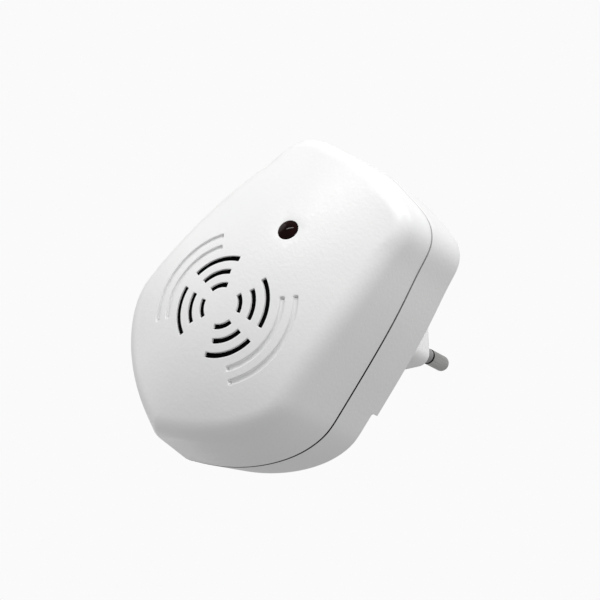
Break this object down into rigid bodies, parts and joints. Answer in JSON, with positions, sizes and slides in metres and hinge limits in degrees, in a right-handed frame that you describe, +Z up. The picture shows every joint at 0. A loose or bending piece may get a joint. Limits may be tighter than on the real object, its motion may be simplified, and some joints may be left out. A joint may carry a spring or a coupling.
{
  "type": "ultrasonic pest repeller",
  "caption": "Plug-in ultrasonic pest repeller: domed shield-shaped white housing with arc sound slots, an indicator lamp, and a tapered boss at the back with round mains pins.",
  "frame": {"origin": "middle of the wall plug's end face, between the pins", "axes": "+Y out of the plug along its pins, into the wall socket; +Z up; +X to the right of someone who looks at the grille, which faces along -Y"},
  "size_m": [0.0584, 0.0802, 0.0848],
  "materials": {
    "shell_white": "satin moulded, with a fine spark-eroded grain",
    "lamp_red": "dark red tinted, polished",
    "mesh_black": "fine black acoustic cloth",
    "pin_metal": "nickel-plated brass, satin",
    "sleeve_grey": "moulded insulating sleeve, mid grey",
    "contact_brass": "stamped, bright",
    "screw_steel": "zinc-plated",
    "tinned_wire": "tinned copper",
    "wire_red": "PVC insulation, soft sheen",
    "wire_blue": "PVC insulation, soft sheen",
    "wire_black": "PVC insulation, soft sheen",
    "plastic_black": "moulded, fine grain",
    "cone_metal": "spun thin sheet, satin",
    "gasket_foam": "closed-cell foam",
    "board_laminate": "phenolic laminate, satin",
    "capacitor_red": "dipped epoxy coat",
    "capacitor_yellow": "dipped epoxy coat",
    "capacitor_sleeve": "shrunk sleeve over a can",
    "capacitor_tan": "dipped ceramic disc",
    "resistor_white": "cement coat",
    "resistor_blue": "lacquer coat",
    "resistor_beige": "lacquer coat",
    "diode_black": "moulded epoxy",
    "diode_glass": "orange glass body",
    "ferrite": "sintered ferrite",
    "enamelled_wire": "enamelled copper windings"
  },
  "bodies": {
    "root": {"front_shell": "shell_white", "rear_shell": "shell_white", "dust_mesh": "mesh_black", "led_lens": "lamp_red", "led_legs": "tinned_wire", "led_spacer": "plastic_black", "left_pin": "pin_metal", "right_pin": "pin_metal", "left_pin_sleeve": "sleeve_grey", "right_pin_sleeve": "sleeve_grey", "left_pin_clip": "contact_brass", "right_pin_clip": "contact_brass", "live_wire": "wire_red", "neutral_wire": "wire_blue", "transducer_case": "plastic_black", "transducer_cone": "cone_metal", "piezo_disc": "contact_brass", "transducer_gasket": "gasket_foam", "transducer_clamp": "plastic_black", "clamp_screws": "screw_steel", "sounder_wires": "wire_black", "circuit_board": "board_laminate", "board_screws": "screw_steel", "housing_screws": "screw_steel", "dropper_capacitor": "capacitor_red", "smoothing_capacitor": "capacitor_sleeve", "coupling_capacitor": "capacitor_yellow", "ceramic_capacitors": "capacitor_tan", "fusible_resistor": "resistor_white", "discharge_resistor": "resistor_blue", "signal_resistors": "resistor_beige", "rectifier_diodes": "diode_black", "zener_diode": "diode_glass", "drive_transistors": "diode_black", "oscillator_chip": "diode_black", "chip_legs": "tinned_wire", "coil_core": "ferrite", "coil_winding": "enamelled_wire"}
  },
  "joints": []
}
